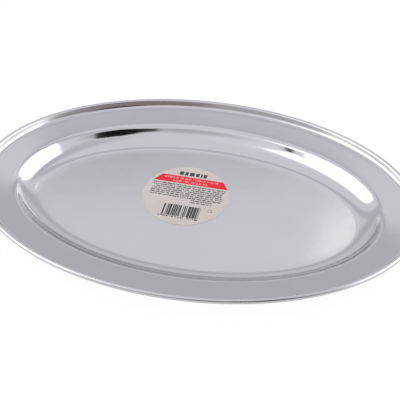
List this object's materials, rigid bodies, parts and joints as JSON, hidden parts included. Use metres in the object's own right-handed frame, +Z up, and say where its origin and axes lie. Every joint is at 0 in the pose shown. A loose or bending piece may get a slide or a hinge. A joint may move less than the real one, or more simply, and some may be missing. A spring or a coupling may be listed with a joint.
{
  "type": "serving tray",
  "caption": "Oval stainless steel serving platter with a wide sloping flange, a raised rolled edge, a shallow flat-floored well and a round paper label.",
  "frame": {"origin": "under the middle of the floor, on the plane that the platter stands on", "axes": "+X along the platter's long axis, +Y along its short axis, +Z up out of the well"},
  "size_m": [0.3, 0.2, 0.0169],
  "materials": {
    "polished_steel": "polished",
    "adhesive": "satin",
    "label_paper": "matte"
  },
  "bodies": {
    "root": {"tray_pressing": "polished_steel", "label_adhesive": "adhesive", "label_paper": "label_paper"}
  },
  "joints": []
}
